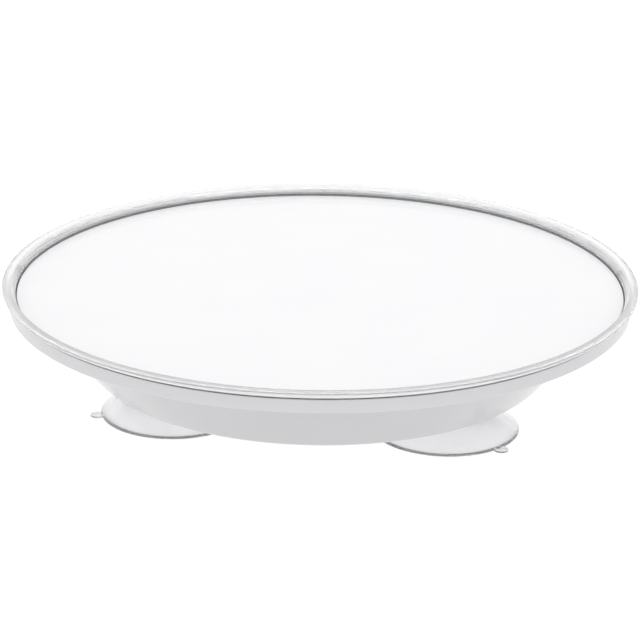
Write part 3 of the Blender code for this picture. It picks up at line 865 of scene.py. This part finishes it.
def base(material):
    """Bowl-shaped base in one moulding: wall, floor, post, and a seat ring under the lower race."""
    floor = BASE_BOTTOM + BASE_FLOOR
    seat = LOWER_RACE_LOW - GAP
    seat_low = seat - SEAT_THICKNESS
    lean = (BASE_TOP_RADIUS - BASE_FOOT_RADIUS) / (BASE_TOP - BASE_BOTTOM)
    rib_inner = BALL_CIRCLE_RADIUS - SEAT_WALL / 2
    rib_outer = BALL_CIRCLE_RADIUS + SEAT_WALL / 2
    pilot = PIVOT_RADIUS + GAP
    post_top = HUB_LEDGE + GAP
    edge = BASE_FILLET
    corner = BASE_CORNER
    corners = [
        (pilot, post_top, edge),
        (POST_RADIUS, post_top, edge),
        (POST_RADIUS, floor, corner),
        (RACE_INNER, floor, corner),
        (RACE_INNER, seat, edge),
        (RACE_OUTER, seat, edge),
        (RACE_OUTER, floor, corner),
        (BASE_FOOT_RADIUS - BASE_WALL + lean * BASE_FLOOR, floor, corner),
        (BASE_TOP_RADIUS - BASE_WALL, BASE_TOP, edge),
        (BASE_TOP_RADIUS, BASE_TOP, BASE_EDGE),
        (BASE_FOOT_RADIUS, BASE_BOTTOM, BASE_ROUND),
        (RACE_OUTER - SEAT_WALL, BASE_BOTTOM, edge),
        (RACE_OUTER - SEAT_WALL, seat_low, edge),
        (rib_outer, seat_low, edge),
        (rib_outer, BASE_BOTTOM, edge),
        (rib_inner, BASE_BOTTOM, edge),
        (rib_inner, seat_low, edge),
        (RACE_INNER + SEAT_WALL, seat_low, edge),
        (RACE_INNER + SEAT_WALL, BASE_BOTTOM, edge),
        (POST_HOLLOW_RADIUS, BASE_BOTTOM, edge),
        (POST_HOLLOW_RADIUS, POST_HOLLOW_TOP, edge),
        (pilot, POST_HOLLOW_TOP, edge),
    ]
    bowl = turned("white_base", rounded(corners), RING_STEPS)
    boss_low = LOWER_RACE_FACE - screw_length(False) - SCREW_BOSS_FLOOR
    combine(bowl, base_ribs(), "UNION")
    combine(bowl, screw_bosses(False, boss_low, seat_low + RIB_OVERLAP), "UNION")
    combine(bowl, cup_sockets(), "DIFFERENCE")
    combine(bowl, screw_holes(False), "DIFFERENCE")
    finish_piece(bowl, material, "white_plastic", "base", "base_bowl")


# ---------------------------------------------------------------- suction cups


def cup_outline():
    """Head above the base's floor, neck in the socket, crown under it, thin dome, flat sealing lip."""
    floor_top = BASE_BOTTOM + BASE_FLOOR + GAP
    crown_top = BASE_BOTTOM - GAP
    lip_inner = CUP_RADIUS - CUP_LIP_WIDTH
    top = [
        (0.0, CUP_HEAD_TOP, 0.0),
        (CUP_HEAD_FLAT_RADIUS, CUP_HEAD_TOP, CUP_HEAD_ROUND),
        (CUP_HEAD_RADIUS, floor_top + CUP_HEAD_SIDE, CUP_HEAD_ROUND),
        (CUP_HEAD_RADIUS, floor_top, CUP_HEAD_ROUND / 2),
        (NECK_RADIUS, floor_top, CUP_HEAD_ROUND / 2),
        (NECK_RADIUS, crown_top, CUP_HEAD_ROUND / 2),
        (CUP_CROWN_RADIUS, crown_top, CUP_CROWN_ROUND),
        (CUP_CROWN_RADIUS, CUP_CROWN, 0.0),
    ]
    outline = rounded(top)
    for step in range(1, CURVE_STEPS):
        along = step / CURVE_STEPS
        radius = CUP_CROWN_RADIUS + (CUP_RADIUS - CUP_CROWN_RADIUS) * along
        straight = CUP_CROWN + (CUP_EDGE - CUP_CROWN) * along
        outline.append((radius, straight - CUP_DOME_DROP * CUP_CROWN * along * (1 - along)))
    edge = (CUP_RADIUS - CUP_EDGE_ROUND, CUP_EDGE - CUP_EDGE_ROUND)
    foot = (CUP_RADIUS - CUP_EDGE_ROUND, CUP_EDGE_ROUND)
    outline += arc(edge, (CUP_EDGE_ROUND, CUP_EDGE_ROUND), CUP_EDGE_START, 0, FILLET_STEPS)
    outline += arc(foot, (CUP_EDGE_ROUND, CUP_EDGE_ROUND), 0, -90, FILLET_STEPS)
    outline.append((lip_inner, 0.0))
    for step in range(1, CURVE_STEPS + 1):
        along = step / CURVE_STEPS
        outline.append((lip_inner * (1 - along), CUP_HOLLOW * math.sin(along * math.pi / 2)))
    return outline


def tab_outline():
    """A round tab with a raised rim."""
    low, high = TAB_BOTTOM, TAB_TOP
    inner = TAB_RADIUS - TAB_RIM
    upper = [
        (0.0, high - TAB_DISH, 0.0),
        (inner - TAB_DISH, high - TAB_DISH, TAB_ROUND),
        (inner, high, TAB_ROUND / 2),
        (TAB_RADIUS, high, TAB_ROUND),
        (TAB_RADIUS, low, TAB_ROUND),
        (0.0, low, 0.0),
    ]
    return rounded(upper)


def suction_cup(name, bearing, tab_bearing, material):
    """One cup in its socket, with its pull tab joined to its edge."""
    x, y = bearing_point(CUP_CIRCLE_RADIUS, bearing)
    tab_x, tab_y = bearing_point(TAB_REACH, tab_bearing)
    cup = turned(f"cup_{name}", cup_outline(), CUP_STEPS, x, y, closed=False)
    bm = bmesh.new()
    spin(bm, tab_outline(), SCREW_STEPS, x + tab_x, y + tab_y, closed=False)
    combine(cup, bm, "UNION")
    finish_piece(cup, material, "clear_pvc", f"cup_{name}", f"suction_cup_{name}")


# ---------------------------------------------------------------- studio


def floor():
    """A plain white floor, a hair under the cups. It glows, so that it takes only a faint shadow."""
    bm = bmesh.new()
    bmesh.ops.create_grid(bm, x_segments=1, y_segments=1, size=FLOOR_SIZE / 2)
    ground = to_object(bm, "studio_floor")
    ground.location.z = -FLOOR_DROP
    grey = (FLOOR_GREY, FLOOR_GREY, FLOOR_GREY, 1.0)
    glow = {"Emission_Color": WHITE, "Emission_Strength": FLOOR_GLOW}
    shade = Shade("studio_floor", Base_Color=grey, Roughness=1.0, Specular_IOR_Level=0.0, **glow)
    ground.data.materials.append(shade.material)


def lights():
    """White all round, and one large soft light overhead, a little behind and aimed at the object."""
    world = bpy.data.worlds.new("studio")
    world.use_nodes = True
    world.node_tree.nodes["Background"].inputs["Color"].default_value = WHITE
    world.node_tree.nodes["Background"].inputs["Strength"].default_value = WORLD_STRENGTH
    bpy.context.scene.world = world
    light = bpy.data.lights.new("overhead", "AREA")
    light.shape = "RECTANGLE"
    light.size, light.size_y = OVERHEAD_SIZE
    light.energy = OVERHEAD_POWER
    obj = bpy.data.objects.new("overhead", light)
    obj.location = OVERHEAD_PLACE
    obj.rotation_euler = (-Vector(OVERHEAD_PLACE)).to_track_quat("-Z", "Y").to_euler()
    bpy.context.scene.collection.objects.link(obj)


def camera():
    """A long lens at the photograph's bearing, height and roll."""
    data = bpy.data.cameras.new("camera")
    data.lens = CAMERA_LENS
    data.sensor_width = SENSOR
    data.shift_x = CAMERA_SHIFT_X
    data.shift_y = CAMERA_SHIFT_Y
    obj = bpy.data.objects.new("camera", data)
    level = math.cos(CAMERA_ELEVATION)
    outwards = Vector((*bearing_point(level, CAMERA_BEARING), math.sin(CAMERA_ELEVATION)))
    obj.location = Vector((0.0, 0.0, CAMERA_AIM_HEIGHT)) + outwards * CAMERA_DISTANCE
    facing = (-outwards).to_track_quat("-Z", "Y").to_matrix().to_4x4()
    obj.rotation_euler = (facing @ Matrix.Rotation(CAMERA_ROLL, 4, "Z")).to_euler()
    bpy.context.scene.collection.objects.link(obj)
    bpy.context.scene.camera = obj


def main():
    """Builds every piece, then the studio."""
    race_metal = race_steel()
    screw_metal = zinc()
    vinyl = clear_pvc()

    clear_lip(clear_acrylic())
    lip_seal(grey_rubber())
    plate(gloss_white())
    platter(white_plastic("white_plastic_platter", SKIRT_TONE))
    race(True, race_metal)
    race_screws(True, screw_metal)

    cage(cage_nylon())
    balls(ball_steel())

    # The base's copy of the white plastic is darker than the platter's: painted shade.
    base(white_plastic("white_plastic_base_painted_shade", BASE_PAINTED_SHADE_TONE))
    race(False, race_metal)
    race_screws(False, screw_metal)
    pivot(screw_metal)
    for name, bearing, tab_bearing in CUPS:
        suction_cup(name, bearing, tab_bearing, vinyl)

    floor()
    lights()
    camera()
    bpy.context.scene.view_settings.view_transform = "Standard"


main()
